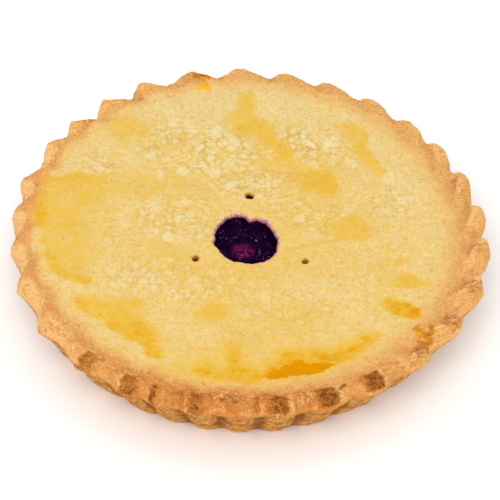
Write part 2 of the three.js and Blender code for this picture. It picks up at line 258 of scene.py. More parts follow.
# ---------------- the flutes


def nearness(degrees, angle, half_width):
    """1 at an angle, fading to 0 on both sides of it."""
    away = (degrees - angle + 180) % 360 - 180
    return np.exp(-((away / half_width) ** 2))


class Columns:
    """The rim's shape on each column of points round the pie."""

    def __init__(self):
        starts = np.array(FLUTE_ANGLES, float)
        ends = np.append(starts[1:], starts[0] + 360)
        flute = np.repeat(np.arange(len(starts)), COLUMNS_PER_FLUTE)
        step = np.tile(np.arange(COLUMNS_PER_FLUTE) / COLUMNS_PER_FLUTE, len(starts))
        self.degrees = lerp(starts[flute], ends[flute], step)
        self.angle = np.radians(self.degrees)
        sharpness = TIP_SHARPNESS - TIP_SHARPENING * np.cos(self.angle)
        heading = np.cos(self.angle - math.radians(FLUTE_LEAN["angle"]))
        lean = FLUTE_LEAN["mean"] - FLUTE_LEAN["swing"] * heading
        turn = np.pi * (step + lean * np.sin(np.pi * step) ** 2)
        share = np.cos(turn) ** 2
        pointed = 1 - np.abs(np.sin(turn))
        lots = lerp(draw(flute), draw((flute + 1) % len(starts)), step)
        on_left = smoothstep(0.2, 0.8, -np.cos(self.angle))
        shape = lerp(share**sharpness, pointed, POINTED * on_left)
        self.swing = (1 + FLUTE_JITTER * (lots - 0.5)) * (2 * shape - 1)
        for angle, half_width, weakness in WEAK_FLUTES:
            self.swing *= 1 - weakness * nearness(self.degrees, angle, half_width)
        front = nearness(self.degrees, FRONT_VALLEYS["angle"], FRONT_VALLEYS["half_width"])
        self.lip_swing = lerp(self.swing, 1, FRONT_VALLEYS["fill"] * front)
        self.rib = 1 - 2 * (1 - share) ** RIB_FULLNESS
        away_from_front = (self.degrees - FRONT_ANGLE) % 360 < 180
        outwards = np.where(away_from_front, step, 1 - step)
        fall = smoothstep(*FLUTE_FALL, outwards)
        rise = smoothstep(*FLUTE_CLIMB, outwards)
        self.ledge = 1 - 2 * fall + 2 * rise
        wave = np.radians(self.degrees - RIM_WAVE["angle"])
        self.uneven = RIM_WAVE["size"] * np.cos(RIM_WAVE["count"] * wave)
        self.dent = sum(depth * nearness(self.degrees, at, wide) for at, wide, depth in DENTS)

    def every(self, stride):
        """The same on every so many columns."""
        fewer = copy.copy(self)
        for name, values in vars(self).items():
            setattr(fewer, name, values[::stride])
        return fewer

    def at(self, degrees, values):
        """One of the columns' values at other angles."""
        known = self.degrees % 360
        order = np.argsort(known)
        return np.interp(degrees % 360, known[order], values[order], period=360)


# ---------------- the crust's form


def swell(x, y):
    """The lid's slow swells, from -1 to 1."""
    waves = []
    for length, heading, phase in SWELLS:
        along = x * math.cos(math.radians(heading)) + y * math.sin(math.radians(heading))
        waves.append(np.sin(2 * np.pi * along / length + phase))
    return sum(waves) / len(waves)


def plain_lid_height(radius):
    return LID_HEIGHT - LID_SAG * (1 - (radius / LID_RADIUS) ** 2)


def lid_height(x, y):
    return plain_lid_height(np.hypot(x, y)) + SWELL_HEIGHT * swell(x, y)


def polar(columns, radius, z, turn=0):
    """Points of one ring, from a radius and a height for each column."""
    angle = columns.angle + math.radians(turn)
    height = np.broadcast_to(z, angle.shape)
    return np.stack([radius * np.cos(angle), radius * np.sin(angle), height], axis=1)


def rim_line(columns, line, swing):
    """Radius and height of one of the lines that run round the rim."""
    radius = line["radius"] + columns.uneven + line["swing"] * swing - columns.dent
    return radius, line["height"] + line["rise"] * swing - DENT_DROP * columns.dent


def between(first, second, share):
    """Radius and height at a share of the way from one line to another."""
    return lerp(first[0], second[0], share), lerp(first[1], second[1], share)


def crest(columns):
    radius, z = rim_line(columns, CREST, columns.swing)
    return radius, z + LEDGE_SPREAD * LEDGE_HEIGHT * columns.ledge


def shoulder(columns):
    radius, z = rim_line(columns, SHOULDER, columns.swing)
    ledge = LEDGE_HEIGHT * columns.ledge
    return radius + LEDGE_SPREAD * LEDGE_HEIGHT * columns.ledge, z + ledge


def lip(columns):
    return rim_line(columns, LIP, columns.lip_swing)


def wall(columns, share):
    """The side wall, from the neck under the lip (share 0) down to the underside (share 1)."""
    swing = lerp(RIB_SWING, RIB_SWING_BASE, share) * columns.rib
    bulge = WALL_BULGE * math.sin(math.pi * share)
    shift = share * BASE_SHIFT * np.cos(columns.angle)
    pinch = (1 - share) * (columns.uneven - DENT_IN_WALL * columns.dent)
    radius = lerp(NECK_RADIUS, BASE_RADIUS, share) + bulge + swing + shift + pinch
    return radius, lerp(RIM_HEIGHT - NECK_DROP, BASE_ROUNDING, share)


def on_lid(flat, depth=0):
    """Points of the lid over places in x and y, or some way down from it."""
    return np.column_stack([flat, lid_height(flat[:, 0], flat[:, 1]) - depth])


def lid_ring(columns, radius):
    return on_lid(polar(columns, radius, 0, FLUTE_TWIST)[:, :2])


def inner_rim_ring(columns, share):
    """Between the lid and the crest."""
    start = LID_RADIUS, lid_ring(columns, LID_RADIUS)[:, 2]
    radius, z = between(start, crest(columns), share)
    groove = GROOVE_DEPTH * (1 - GROOVE_FADE * columns.swing) * math.sin(math.pi * share)
    return polar(columns, radius, z - groove, FLUTE_TWIST)


def top_rim_ring(columns, share):
    """Between the crest and the shoulder."""
    radius, z = between(crest(columns), shoulder(columns), share)
    bow = TOP_BOW * math.sin(math.pi * share)
    return polar(columns, radius, z + bow, FLUTE_TWIST * (1 - share))


def facet_ring(columns, share):
    """Between the shoulder and the lip."""
    ends = shoulder(columns), lip(columns)
    return polar(columns, between(*ends, share**FACET_BOW)[0], between(*ends, share)[1])


def under_lip_ring(columns, share):
    """From the lip down and in to the neck, as a quarter turn."""
    lip_radius, lip_z = lip(columns)
    neck_radius, neck_z = wall(columns, 0)
    turn = 0.5 * math.pi * share
    radius = lerp(neck_radius, lip_radius, math.cos(turn))
    return polar(columns, radius, lerp(lip_z, neck_z, math.sin(turn)))


def wall_ring(columns, share):
    return polar(columns, *wall(columns, share))


def base_rounding_ring(columns, share):
    """From the side wall down and in to the underside, as a quarter turn."""
    radius, _ = wall(columns, 1)
    turn = 0.5 * math.pi * share
    inset = BASE_ROUNDING * (1 - math.cos(turn))
    return polar(columns, radius - inset, BASE_ROUNDING * (1 - math.sin(turn)))


def hole_radius(angle):
    """The hole's radius from its own middle at each angle."""
    lobes = sum(size * np.sin(count * angle + phase) for size, count, phase in HOLE_LOBES)
    degrees = np.degrees(angle)
    bumps = sum(size * nearness(degrees, at, half_width) for at, half_width, size in HOLE_BUMPS)
    return HOLE_RADIUS + lobes + bumps


def hole_outline(columns, inset):
    """The hole's outline in x and y, on each column's heading from the hole's middle."""
    angle = columns.angle + math.radians(FLUTE_TWIST)
    radius = hole_radius(angle) - inset
    heading = np.stack([np.cos(angle), np.sin(angle)], axis=1)
    return HOLE_CENTRE + radius[:, None] * heading


def hole_ring(columns, inset, depth):
    return on_lid(hole_outline(columns, inset), depth)


def near_hole_ring(columns, share, first_inset, last_radius):
    """Between the hole's outline and a full circle."""
    start = hole_outline(columns, first_inset)
    end = polar(columns, last_radius, 0, FLUTE_TWIST)[:, :2]
    return on_lid(lerp(start, end, share))


# ---------------- meshes from rings


def stitch(faces, first, second):
    """Joins two neighbouring rings of indices. One may have a whole multiple of the other's."""
    if len(first) == len(second):
        faces.extend(zip(first, second, np.roll(second, -1), np.roll(first, -1)))
        return
    outwards = len(first) < len(second)
    coarse, fine = (first, second) if outwards else (second, first)
    ratio = len(fine) // len(coarse)
    half = -(-ratio // 2)
    for index, here in enumerate(coarse):
        there = coarse[(index + 1) % len(coarse)]
        for step in range(ratio):
            start = fine[index * ratio + step]
            end = fine[(index * ratio + step + 1) % len(fine)]
            corner = here if step < half else there
            faces.append((corner, start, end) if outwards else (corner, end, start))
        if here != there:
            middle = fine[(index * ratio + half) % len(fine)]
            faces.append((here, middle, there) if outwards else (here, there, middle))


def ring_mesh(name, rings):
    """A closed mesh from rings of points that run from one pole to the other."""
    faces = []
    ends = np.cumsum([len(points) for points in rings])
    indices = [np.arange(end - len(points), end) for end, points in zip(ends, rings)]
    for before, here in zip(indices, indices[1:]):
        stitch(faces, before, here)
    mesh = bpy.data.meshes.new(name)
    corners = [[int(corner) for corner in face] for face in faces]
    mesh.from_pydata((np.concatenate(rings) * MM).tolist(), [], corners)
    mesh.update()
    return mesh


def read_vectors(items, name):
    values = np.empty(3 * len(items), np.float32)
    items.foreach_get(name, values)
    return values.reshape(-1, 3).astype(float)


def mesh_points(mesh):
    return read_vectors(mesh.vertices, "co") / MM


def set_points(mesh, points):
    mesh.vertices.foreach_set("co", (points * MM).astype(np.float32).ravel())
    mesh.update()


def add_object(name, data):
    added = bpy.data.objects.new(name, data)
    bpy.context.scene.collection.objects.link(added)
    return added


def set_fields(mesh, fields):
    """Keeps values for each point under their names, for the materials to read."""
    for name, values in fields.items():
        field = mesh.attributes.new(name, "FLOAT", "POINT")
        field.data.foreach_set("value", np.asarray(values, np.float32))


# ---------------- the crust's rings

FINE_RADIUS = 52  # outside this radius a lid ring has all columns
MEDIUM_RADIUS = 26  # outside this one half of them
LID_STEP = 0.8  # between two rings of the lid
# The hole's edge, from its lower corner up and over: inset and depth below the lid.
HOLE_PROFILE = [
    (-0.6, 3.2), (0, 2.6), (0.2, 1.9), (0.2, 1.3), (0.05, 0.8), (-0.3, 0.4), (-0.8, 0.12),
    (-1.4, 0),
]
# Rows of points from the lid out over the rim and down to the underside.
OUTER_ROWS = [
    (inner_rim_ring, 5), (top_rim_ring, 8), (facet_ring, 7), (under_lip_ring, 6), (wall_ring, 22),
    (base_rounding_ring, 3),
]
# Shares of a width where the floor, the ceiling and the underside have rings.
FLOOR_SHARES = (0.3, 0.6)
CEILING_SHARES = (0.92, 0.75, 0.5, 0.3)
UNDERSIDE_SHARES = (0.85, 0.5)
CORNER_TURNS = (0, 30, 60, 90)


def inside_profile(inset):
    """The hollow's profile from the middle of its floor, drawn in on all sides by an inset."""
    side = BASE_RADIUS - WALL_THICKNESS - inset
    floor = FLOOR_THICKNESS + inset
    profile = [(share * side, floor) for share in FLOOR_SHARES]
    for turn in CORNER_TURNS:
        across = side - CORNER_ROUNDING * (1 - math.sin(math.radians(turn)))
        profile.append((across, floor + CORNER_ROUNDING * (1 - math.cos(math.radians(turn)))))
    upper_side = NECK_RADIUS - WALL_THICKNESS - FILLING_TAPER - inset
    ceiling = plain_lid_height(upper_side) - LID_THICKNESS - inset
    profile.append((upper_side, ceiling - CORNER_ROUNDING))
    for share in CEILING_SHARES:
        radius = share * upper_side
        profile.append((radius, plain_lid_height(radius) - LID_THICKNESS - inset))
    return profile


def shares(rows):
    return [(row + 1) / rows for row in range(rows)]


def crust_rings(columns):
    """All rings from the hollow's floor, over the hole's edge, lid and rim, to the underside."""
    half, quarter, coarse = (columns.every(stride) for stride in (2, 4, 8))
    rings = [np.array([[0, 0, FLOOR_THICKNESS]])]
    rings += [polar(coarse, radius, z) for radius, z in inside_profile(0)]
    hidden = sum(len(ring) for ring in rings)
    rings += [hole_ring(quarter, inset, depth) for inset, depth in HOLE_PROFILE]
    last_inset = HOLE_PROFILE[-1][0]
    rows = round((MEDIUM_RADIUS - HOLE_RADIUS + last_inset) / LID_STEP)
    rings += [near_hole_ring(quarter, share, last_inset, MEDIUM_RADIUS) for share in shares(rows)]
    for first, last, picked in (
        (MEDIUM_RADIUS, FINE_RADIUS, half),
        (FINE_RADIUS, LID_RADIUS, columns),
    ):
        rows = round((last - first) / LID_STEP)
        rings += [lid_ring(picked, lerp(first, last, share)) for share in shares(rows)]
    for ring, rows in OUTER_ROWS:
        rings += [ring(columns, share) for share in shares(rows)]
    for share, picked in zip(UNDERSIDE_SHARES, (quarter, coarse)):
        rings.append(polar(picked, share * BASE_RADIUS, 0))
    rings.append(np.zeros((1, 3)))
    return rings, hidden


# ---------------- where things are on the crust

# Where the picture shows the lid: the pixel of the rim's middle, pixels to a millimetre there, and
# how far the lid's places lie above the rim's lower lip.
PICTURE_MIDDLE = (247.5, 241.6)
PICTURE_SCALE = 2.3066
PICTURE_LEVEL = 3.6


def lid_place(column, row, step=0.5):
    """The place on the lid that a pixel of the picture shows, to a step in millimetres."""
    across, down = column - PICTURE_MIDDLE[0], row - PICTURE_MIDDLE[1]
    right = across * math.cos(CAMERA_ROLL) + down * math.sin(CAMERA_ROLL)
    below = down * math.cos(CAMERA_ROLL) - across * math.sin(CAMERA_ROLL)
    slant, upright = math.sin(CAMERA_ELEVATION), math.cos(CAMERA_ELEVATION)
    focal = PICTURE_SCALE * CAMERA_DISTANCE
    near = CAMERA_DISTANCE - PICTURE_LEVEL * slant
    y = -(focal * PICTURE_LEVEL * upright + below * near) / (below * upright + focal * slant)
    x = right * (near + y * upright) / focal
    return round(x / step) * step, round(y / step) * step


def lid_outlines(rows):
    """Patches or streaks whose corners are pixels of the picture, as places on the lid."""
    return [(*rest, [lid_place(*corner) for corner in corners]) for *rest, corners in rows]


def lid_spots(rows, step=0.5):
    """Spots whose places are pixels of the picture, as places on the lid."""
    return [(*lid_place(column, row, step), *rest) for column, row, *rest in rows]


# Egg wash on the lid: outlined patches, each with its strength, the widths of its edge towards the
# pie's middle and on the outer side, and its corners; streaks, as width, strength and corners; and
# spots. Their places are pixels of the picture's 500 x 500 frame, and their sizes are millimetres.
WASH_PATCHES = [
    (0.3, 24, 2, [
        (37, 190), (45, 184), (60, 178), (90, 174), (114, 171.5), (112.5, 190), (106.5, 219.5),
        (104.5, 247.5), (103, 265), (96, 276), (87, 282), (70, 279), (58, 272), (50, 262),
        (46, 252), (42, 243), (38, 235), (37, 222), (36, 205),
    ]),
    (0.54, 8, 2.5, [
        (109, 318), (133, 315), (151, 320), (156, 328), (163, 342), (168, 355), (158, 361),
        (147, 361), (139, 349), (125, 339), (113, 333), (103, 324),
    ]),
    (0.42, 14, 2, [
        (77, 297), (85, 293), (105, 294), (125, 299), (142, 308), (152, 320), (133, 322),
        (109, 324), (92, 317), (79, 310),
    ]),
    (1.25, 4, 1.2, [
        (265, 381), (280, 382), (289, 379.5), (303, 376), (319, 374.5), (340, 365), (334, 362.5),
        (323, 363.5), (312, 362), (298, 363), (288, 366), (280, 371), (270, 375),
    ]),
    (0.5, 9, 3, [
        (262, 370), (274, 356), (288, 348), (305, 349), (330, 347), (345, 344), (361, 334),
        (375, 329), (382, 335), (374, 349), (357, 360), (341, 366), (300, 377), (280, 383),
        (264, 382), (254, 382),
    ]),
    (0.35, 10, 3, [
        (190, 368), (200, 362), (215, 366), (228, 367), (238, 358), (252, 364), (262, 371),
        (264, 384), (250, 388), (234, 387), (214, 381), (199, 376),
    ]),
    (0.64, 5, 1.5, [
        (377, 303), (388, 298), (400, 299), (410, 304), (418, 308), (421, 319), (410, 321),
        (398, 317), (384, 312),
    ]),
    (0.32, 5, 2, [
        (384, 283), (395, 279), (408, 273), (416, 276), (424, 281), (434, 287), (429, 289),
        (415, 287), (395, 288),
    ]),
    (0.3, 4, 1.5, [
        (392, 262), (399, 257), (404, 260), (403, 265), (396, 266),
    ]),
    (0.26, 12, 3, [
        (318, 222), (335, 214), (350, 211), (365, 217), (373, 228), (369, 239), (350, 241),
        (330, 237),
    ]),
    (0.34, 9, 2, [
        (293, 178), (308, 171), (325, 169), (333, 176), (338, 185), (336, 195), (321, 197),
        (304, 188),
    ]),
    (0.3, 11, 1.8, [
        (330, 124), (347, 121), (367, 129), (367, 144), (374, 156), (386, 169), (385, 181),
        (375, 178), (359, 161), (343, 145),
    ]),
    (0.32, 9, 5, [
        (236, 90), (251, 90), (261, 107), (259, 114), (273, 124), (286, 141), (296, 155),
        (293, 167), (279, 161), (264, 146), (250, 134), (245, 139), (238, 135), (228, 123),
        (220, 117), (233, 109),
    ]),
    (0.22, 14, 9, [
        (105, 113), (130, 110), (152, 121), (162, 136), (140, 149), (113, 146), (103, 130),
    ]),
]
WASH_STREAKS = [
    (7, 0.52, [(40, 196), (41, 208), (39, 222)]), (3, 0.45, [(42.5, 240), (43, 243)]),
    (3.5, 0.45, [(45, 186), (60, 180), (86, 177)]), (4, 0.46, [(79, 300), (82, 308)]),
    (5, 0.5, [(50, 257), (58, 269), (68, 276), (86, 280)]),
]
# Spots: column, row, half length, half width, heading and strength.
WASH_SPOTS = [
    (70, 224, 5, 6, 0, 0.46), (136, 304, 5, 4, 0, 0.42), (214, 311, 8, 8, 0, 0.4),
    (207, 370, 5, 4, 0, 0.38), (234, 353, 5, 6, 0, 0.36), (237, 361, 4, 4, 0, 0.38),
    (289, 356, 5, 4, 0, 0.62), (323, 356, 8, 4, 0, 0.62), (366, 339, 5, 3.5, 0, 0.52),
    (244, 128, 6, 4, 0, 0.45),
]
# Places where the lid is yellower, and places where it stayed pale, in the same form, but with x
# and y on the lid.
YELLOW = [
    (14, -72, 55, 17, 2, 0.22), (0, -84, 42, 8, 0, 0.25), (46, 8, 13, 9, 15, 0.1),
    (28, 33, 14, 11, -25, 0.1), (48, 53, 13, 17, -24, 0.1), (5, 58, 13, 19, 24, 0.1),
    (20, 44, 26, 12, -30, 0.15), (-58, 62, 15, 13, 40, 0.1), (-20, 22, 14, 12, 30, 0.15),
    (25, -45, 20, 10, 0, 0.18), (-45, 28, 26, 12, 8, 0.2), (16, 4, 20, 14, 0, 0.06),
    (-32, -18, 24, 14, -20, 0.14), (30, 12, 40, 34, -30, 0.05), (0, -20, 40, 30, 0, 0.12),
    (66, -20, 12, 10, 0, 0.1),
]
PALE = [
    (-62, -36, 22, 6, -12, 0.8), (30, -28, 16, 9, -20, 0.6), (45, -44, 12, 8, 0, 0.5),
    (30, 72, 22, 12, -20, 0.6), (-30, 74, 20, 14, 10, 0.6), (64, 22, 12, 16, 0, 0.5),
    (-82, -9, 9, 1.4, -8, 0.9), (-85, -4, 7, 1.1, -4, 0.8), (-84, 36, 10, 8, 40, 0.5),
    (-40, -30, 14, 9, -10, 0.4), (-8, 20, 12, 5, 20, 0.3), (72, -62, 6, 9, 30, 0.5),
]
# Where the lid blistered into small plates, in the form of the spots.
BLISTERED = [
    (-22, 54, 30, 18, -6, 1), (28, 58, 24, 14, -20, 1), (-30, -28, 34, 14, 0, 0.7),
    (26, 16, 22, 12, 0, 0.6), (-32, 12, 22, 15, 0, 0.8), (60, 28, 14, 12, 0, 0.6),
    (20, -38, 26, 12, 0, 0.5), (-64, 36, 10, 12, 0, 0.5), (2, 32, 24, 9, 0, 0.9),
]
PLATE_SIZE = 5.4
# Single large plates, in the form of the wash's spots.
LARGE_PLATES = [
    (188, 200.7, 2.4, 2.8, 0, 1), (176.6, 216.6, 2.2, 2.8, 0, 0.9),
    (168.6, 234.8, 2.6, 3.3, 0, 0.9), (156, 230, 1.7, 2.4, 0, 0.8), (164, 259.8, 6, 2, 28, 0.8),
    (149.3, 275.7, 2.6, 3.3, 0, 0.9), (123, 222, 2.2, 2.8, 0, 0.6), (173, 274.5, 3, 2.1, 20, 0.8),
    (193.6, 279, 3, 2.7, 0, 0.9), (232.5, 142.5, 3.2, 6.1, 10, 0.8), (182.5, 170, 3.3, 3.1, 0, 1),
    (227.5, 162.5, 2.6, 3.2, 0, 0.8), (213.7, 170, 3.1, 4.4, 0, 0.8),
    (192.5, 128.7, 2.7, 3.2, 0, 0.8), (216, 132.5, 3.3, 4.5, 0, 0.9),
    (272.5, 153.7, 3.1, 3.8, 0, 0.9), (330, 141, 5.5, 3, 50, 1), (245, 182.5, 3.1, 3.1, 0, 0.7),
    (160, 173.7, 2.2, 3.1, 0, 0.7), (390, 177, 2.6, 4.4, -20, 0.8), (306.5, 133, 4.5, 1.4, 60, 0.8),
]
PEBBLES = [(4.4, 0.5), (2.5, 0.35)]  # size and the share of the lid's cells that have one
# Thin flakes curled up on the lid, and creases in it, in the form of the streaks.
CURLED_FLAKES = [
    (2.6, 1, [(-28.2, 20), (-26.8, 21)]), (0.9, 0.8, [(-25, 20), (-20, 18), (-17, 13)]),
    (0.8, 0.7, [(-27, 14), (-23, 15), (-18, 10)]), (1.2, 0.6, [(-33, 26), (-36, 30), (-35, 33)]),
    (1, 0.6, [(10, 26), (14, 24), (19, 25)]), (0.9, 0.6, [(27, 60), (29, 56), (27, 52)]),
]
CREASES = [
    (1.3, 0.8, [(-15, 36), (-5, 40), (8, 42), (25, 41)]), (1.3, 0.7, [(17, -6), (30, -2), (47, 4)]),
    (1.1, 0.6, [(-42, 6), (-36, 0), (-34, -8)]), (1.1, 0.6, [(-8, -28), (4, -31), (14, -30)]),
    (1.2, 0.6, [(-50, 48), (-41, 56), (-30, 60)]), (1, 0.5, [(34, 16), (38, 24), (36, 31)]),
]
# The lobes on the left side's flutes: radii from tip to root, the degrees by which they widen over
# it, and the degrees from a flute's tip to the middle of its lobe.
LOBE = {"tip": 103, "length": 11, "spread": 8, "lean": 4.5}
# Where the parts of the folds set in: radii, and degrees past a flute's tip.
FOLD_RADII = {
    "lobe": (92.5, 95), "beyond lobe": (95.5, 98), "hollow": (89.5, 93.5),
    "hollow end": (100.5, 98), "facet": (94.5, 97.5),
}
HOLLOW_START = (-3.3, -2.5)
HOLLOW_END = (5, 0)
HOLLOW_SLANT = 1.15  # degrees for each millimetre outwards
# Radii between which the crust browns, at the pie's front and back, and how much the sides differ.
BAKE_START = {"front": 83.5, "back": 89.5, "right": -7, "washed": 3.5}
BAKE_END = {"front": 97, "back": 102, "right": -0.5, "left": -2}
WASHED_SIDE = (176, 28)  # angle and reach of the place where the wash comes close to the rim
ROASTED_SIDE = (268, 45)  # the same of the place where the rim is darkest
LID_LEVEL = 30.5  # all that shows above it is the lid or the top of the rim
RIM_TOP = (31, 33)  # heights from which on the rim's top looks away from the side wall
CRIMP = (91, 95.5)  # radii between which the lid's relief gives way to the rim's
BLISTER_FLOOR = 0.15  # how blistered the lid is outside its blistered places
# Heights of the relief. Those below 0 are sunk.
RELIEF = {
    "plate": 0.3, "vein": -0.12, "lump": 0.14, "curl": 0.35, "crease": -0.3, "large plate": 0.3,
    "browned": -0.35, "highlit_ridge": 0.35, "fold": 0.6, "crack": -0.7,
}
# The share of a fold's height in the lobes on the left and the hollows elsewhere, which carry
# painted shade, and in the facets, which carry painted light.
FOLDS = {"lobe": 0.4, "hollow": -0.6, "lit": 0.3}
# Browned tops of the flutes: angle, half width, strength.
BROWNED = [
    (231, 2.2, 0.75), (243.3, 2.2, 0.8), (249.5, 1, 0.95), (256, 2.2, 0.35), (260, 2.2, 0.8),
    (269, 2.4, 0.35), (273.7, 1, 0.65), (278.6, 3, 0.9), (290.8, 3.2, 1), (303.2, 2.7, 1),
    (311, 2, 0.3), (318, 4, 0.5), (331, 3.2, 0.5), (344, 3, 0.45), (217, 3, 0.25), (204, 3, 0.15),
    (357, 3, 0.35), (107, 4, 0.3), (84, 5, 0.2), (71, 4, 0.2), (139, 3, 0.4), (124, 3, 0.3),
    (20, 4, 0.25),
]
OUTER_BROWNING = (243, 26)  # degrees and reach: here the browned tops lie further out and lower
OUTER_BROWNING_SHIFT = 2.8
# Glaze that ran over the rim, in the form of the streaks, and the yellow pools in it, in the form
# of the spots.
GLAZE = [
    (2, 0.9, [
        (74.2, -49.6), (73.2, -52.5), (74.8, -53.8), (77.9, -56.7), (80, -54.9), (79.4, -49.5),
    ]),
    (1.3, 0.6, [(79.4, -49.5), (79.1, -46.4)]), (1.6, 0.6, [(76, -57.5), (74, -55.5)]),
    (2.2, 0.9, [(74.1, -59.1), (76.6, -60), (79, -58.3), (78.2, -56.7)]),
    (3, 0.9, [(-26.5, 97.6), (-21, 97.8)]), (2, 0.6, [(-24, 95), (-20, 93)]),
    (1.4, 0.8, [(-98.5, 15), (-98.6, 17)]),
]
GLAZE_POOLS = [
    (73.7, -54.9, 1.9, 1.5, 50, 1), (-21.5, 91.5, 4.2, 2.8, 0, 0.7), (-98.5, 16, 1.5, 0.9, 30, 0.9),
]
# Cracks in the rim, in the form of the streaks: sunk, and painted dark as the shade in them.
CRACKS = [
    (0.9, 1, [(41.2, -88.5), (42.2, -87.2), (43.2, -86.6)]),
    (0.7, 0.9, [(-2.2, -100.2), (-1.4, -100.6)]),
    (0.6, 0.8, [(-8, -98), (-5.5, -98.6), (-4.2, -98.2)]),
    (0.6, 0.8, [(-4.3, -95.5), (-3.6, -97.8)]),
]


class Places:
    """The crust's points, in x, y and height, and by radius and angle."""

    def __init__(self, mesh):
        self.points = mesh_points(mesh)
        self.x, self.y, self.z = self.points.T
        self.flat = self.points * [1, 1, 0]
        self.radius = np.hypot(self.x, self.y)
        self.degrees = np.degrees(np.arctan2(self.y, self.x)) % 360

    def facing(self, angle):
        """1 at an angle, and -1 on the other side of the pie."""
        return np.cos(np.radians(self.degrees - angle))

    def drift(self, *kinds):
        """Cloudy ways in x and y: the swing, size and shift of each kind of cloud."""
        return [
            sum(swing * clouds(self.flat, size, shift + axis) for swing, size, shift in kinds)
            for axis in (0, 1)
        ]

    def moved(self, drift, share=1):
        return self.x + share * drift[0], self.y + share * drift[1]


def rim_bake(at, columns):
    """How far the crust is baked from the lid's pale to the rim's tan."""
    right = smoothstep(-0.2, 1, at.facing(0))
    left = smoothstep(0.2, 0.9, -at.facing(0))
    back = 0.5 + 0.5 * at.facing(90)
    swing = columns.at(at.degrees - FLUTE_TWIST + LOBE["lean"] * left, columns.swing)
    start = lerp(BAKE_START["front"], BAKE_START["back"], back) + BAKE_START["right"] * right
    start += BAKE_START["washed"] * nearness(at.degrees, *WASHED_SIDE)
    end = lerp(BAKE_END["front"], BAKE_END["back"], back) + BAKE_END["right"] * right
    end += BAKE_END["left"] * left
    shifted = at.radius + lerp(0.6, 1.8, left) * swing + 1.2 * clouds(at.points, 9, 11)
    return np.clip((shifted - start) / (end - start), 0, 1)


def tips_ahead(degrees):
    """Degrees from each point on to the next flute's tip, and back to the last one's."""
    tips = np.array(FLUTE_ANGLES, float)
    ahead = np.min((tips - degrees[:, None]) % 360, axis=1)
    return ahead, np.min((degrees[:, None] - tips) % 360, axis=1)


def rim_folds(at):
    """Painted shade on the flutes' sides and painted light on their facets, with a crisp border
    between the two.

    On the left a rosy lobe of painted shade widens from each tip inwards. On the right a
    hollow of painted shade runs in from each tip on its far side, and the facet in front of it has
    painted light.
    """
    left = smoothstep(0.66, 0.88, at.facing(190))
    right = smoothstep(0.55, 0.9, at.facing(-4))
    wander = at.degrees + 0.7 * clouds(at.points, 4, 23)
    ahead, _ = tips_ahead(wander)
    reach = 1 + LOBE["spread"] * (LOBE["tip"] - at.radius) / LOBE["length"]
    within = {name: smoothstep(*radii, at.radius) for name, radii in FOLD_RADII.items()}
    lobe = smoothstep(0.35, -0.35, ahead - reach) * within["lobe"]
    beyond = (1 - lobe) * within["beyond lobe"]
    ahead, behind = tips_ahead(wander - HOLLOW_SLANT * (at.radius - 95.5))
    past = np.where(ahead < behind, -ahead, behind)
    hollow = smoothstep(*HOLLOW_START, past) * smoothstep(*HOLLOW_END, past)
    hollow *= within["hollow"] * within["hollow end"]
    facet = smoothstep(*reversed(HOLLOW_START), past) * within["facet"]
    return left * lobe + right * hollow, left * beyond + right * facet


def rim_browning(at):
    """The browned tops of the flutes, and the raised ridge on each one's side away from the front,
    which is painted pale as a highlight.
    """
    wander = at.degrees + 0.5 * clouds(at.points, 3, 21)
    outer = OUTER_BROWNING_SHIFT * nearness(at.degrees, *OUTER_BROWNING)
    across = at.radius - outer + 0.5 * clouds(at.points, 3, 22)
    across = np.minimum(smoothstep(94.8, 96.2, across), smoothstep(105.6, 103.4, across))
    total = np.zeros(len(wander))
    edge = np.zeros(len(wander))
    for angle, half_width, strength in BROWNED:
        away = ((wander - angle + 180) % 360 - 180) / half_width
        outwards = away * (1 if (angle - FRONT_ANGLE) % 360 < 180 else -1)
        along = np.minimum(smoothstep(1.15, 0.95, outwards), smoothstep(-1.4, -0.1, outwards))
        total = np.maximum(total, strength * np.minimum(along, across))
        # A painted highlight in a thin strip just past each browned top, on its side away from the
        # front.
        edge = np.maximum(edge, strength * across * np.exp(-(((outwards - 1.25) / 0.16) ** 2)))
    on_top = smoothstep(*RIM_TOP, at.z + outer)
    return total * on_top, edge * on_top


# ---------------- the crust's relief


def blisters(at):
    """Where the lid is blistered, and how much of a plate and of a vein each point is."""
    where = ellipses(*at.moved(at.drift((4, 12, 31))), BLISTERED, 0.6)
    where = lerp(BLISTER_FLOOR, 1, where) * (1 + 0.6 * clouds(at.flat, 7, 33))
    bent = np.column_stack([*at.moved(at.drift((1.3, 4, 7))), 0 * at.x])
    border, lot = cells(bent, PLATE_SIZE, 4)
    loose = where * smoothstep(0.2, 0.7, lot)
    return where, loose * smoothstep(0.05, 0.35, border), loose * smoothstep(0.2, 0.02, border)


def rim_relief(at):
    """Lumps, ledges and folds of the rim, out of its even form."""
    lumps = 0.2 * clouds(at.points, 4.5, 1) + 0.32 * clouds(at.points, 1.9, 2, 2)
    ledges = 0.3 * terraces(clouds(at.points, 8, 9), 3.5)
    fold_shade, lit = rim_folds(at)
    on_left = smoothstep(0, 0.7, -at.facing(0))
    folds = lerp(FOLDS["hollow"], FOLDS["lobe"], on_left) * fold_shade + FOLDS["lit"] * lit
    return lumps + ledges + RELIEF["fold"] * folds


def wall_relief(at):
    """Lumps and ledges of the side wall, in level layers."""
    layered = at.points * [1, 1, 2.2]
    return 0.4 * clouds(layered, 6, 3) + 0.5 * terraces(clouds(layered, 10, 4), 3)


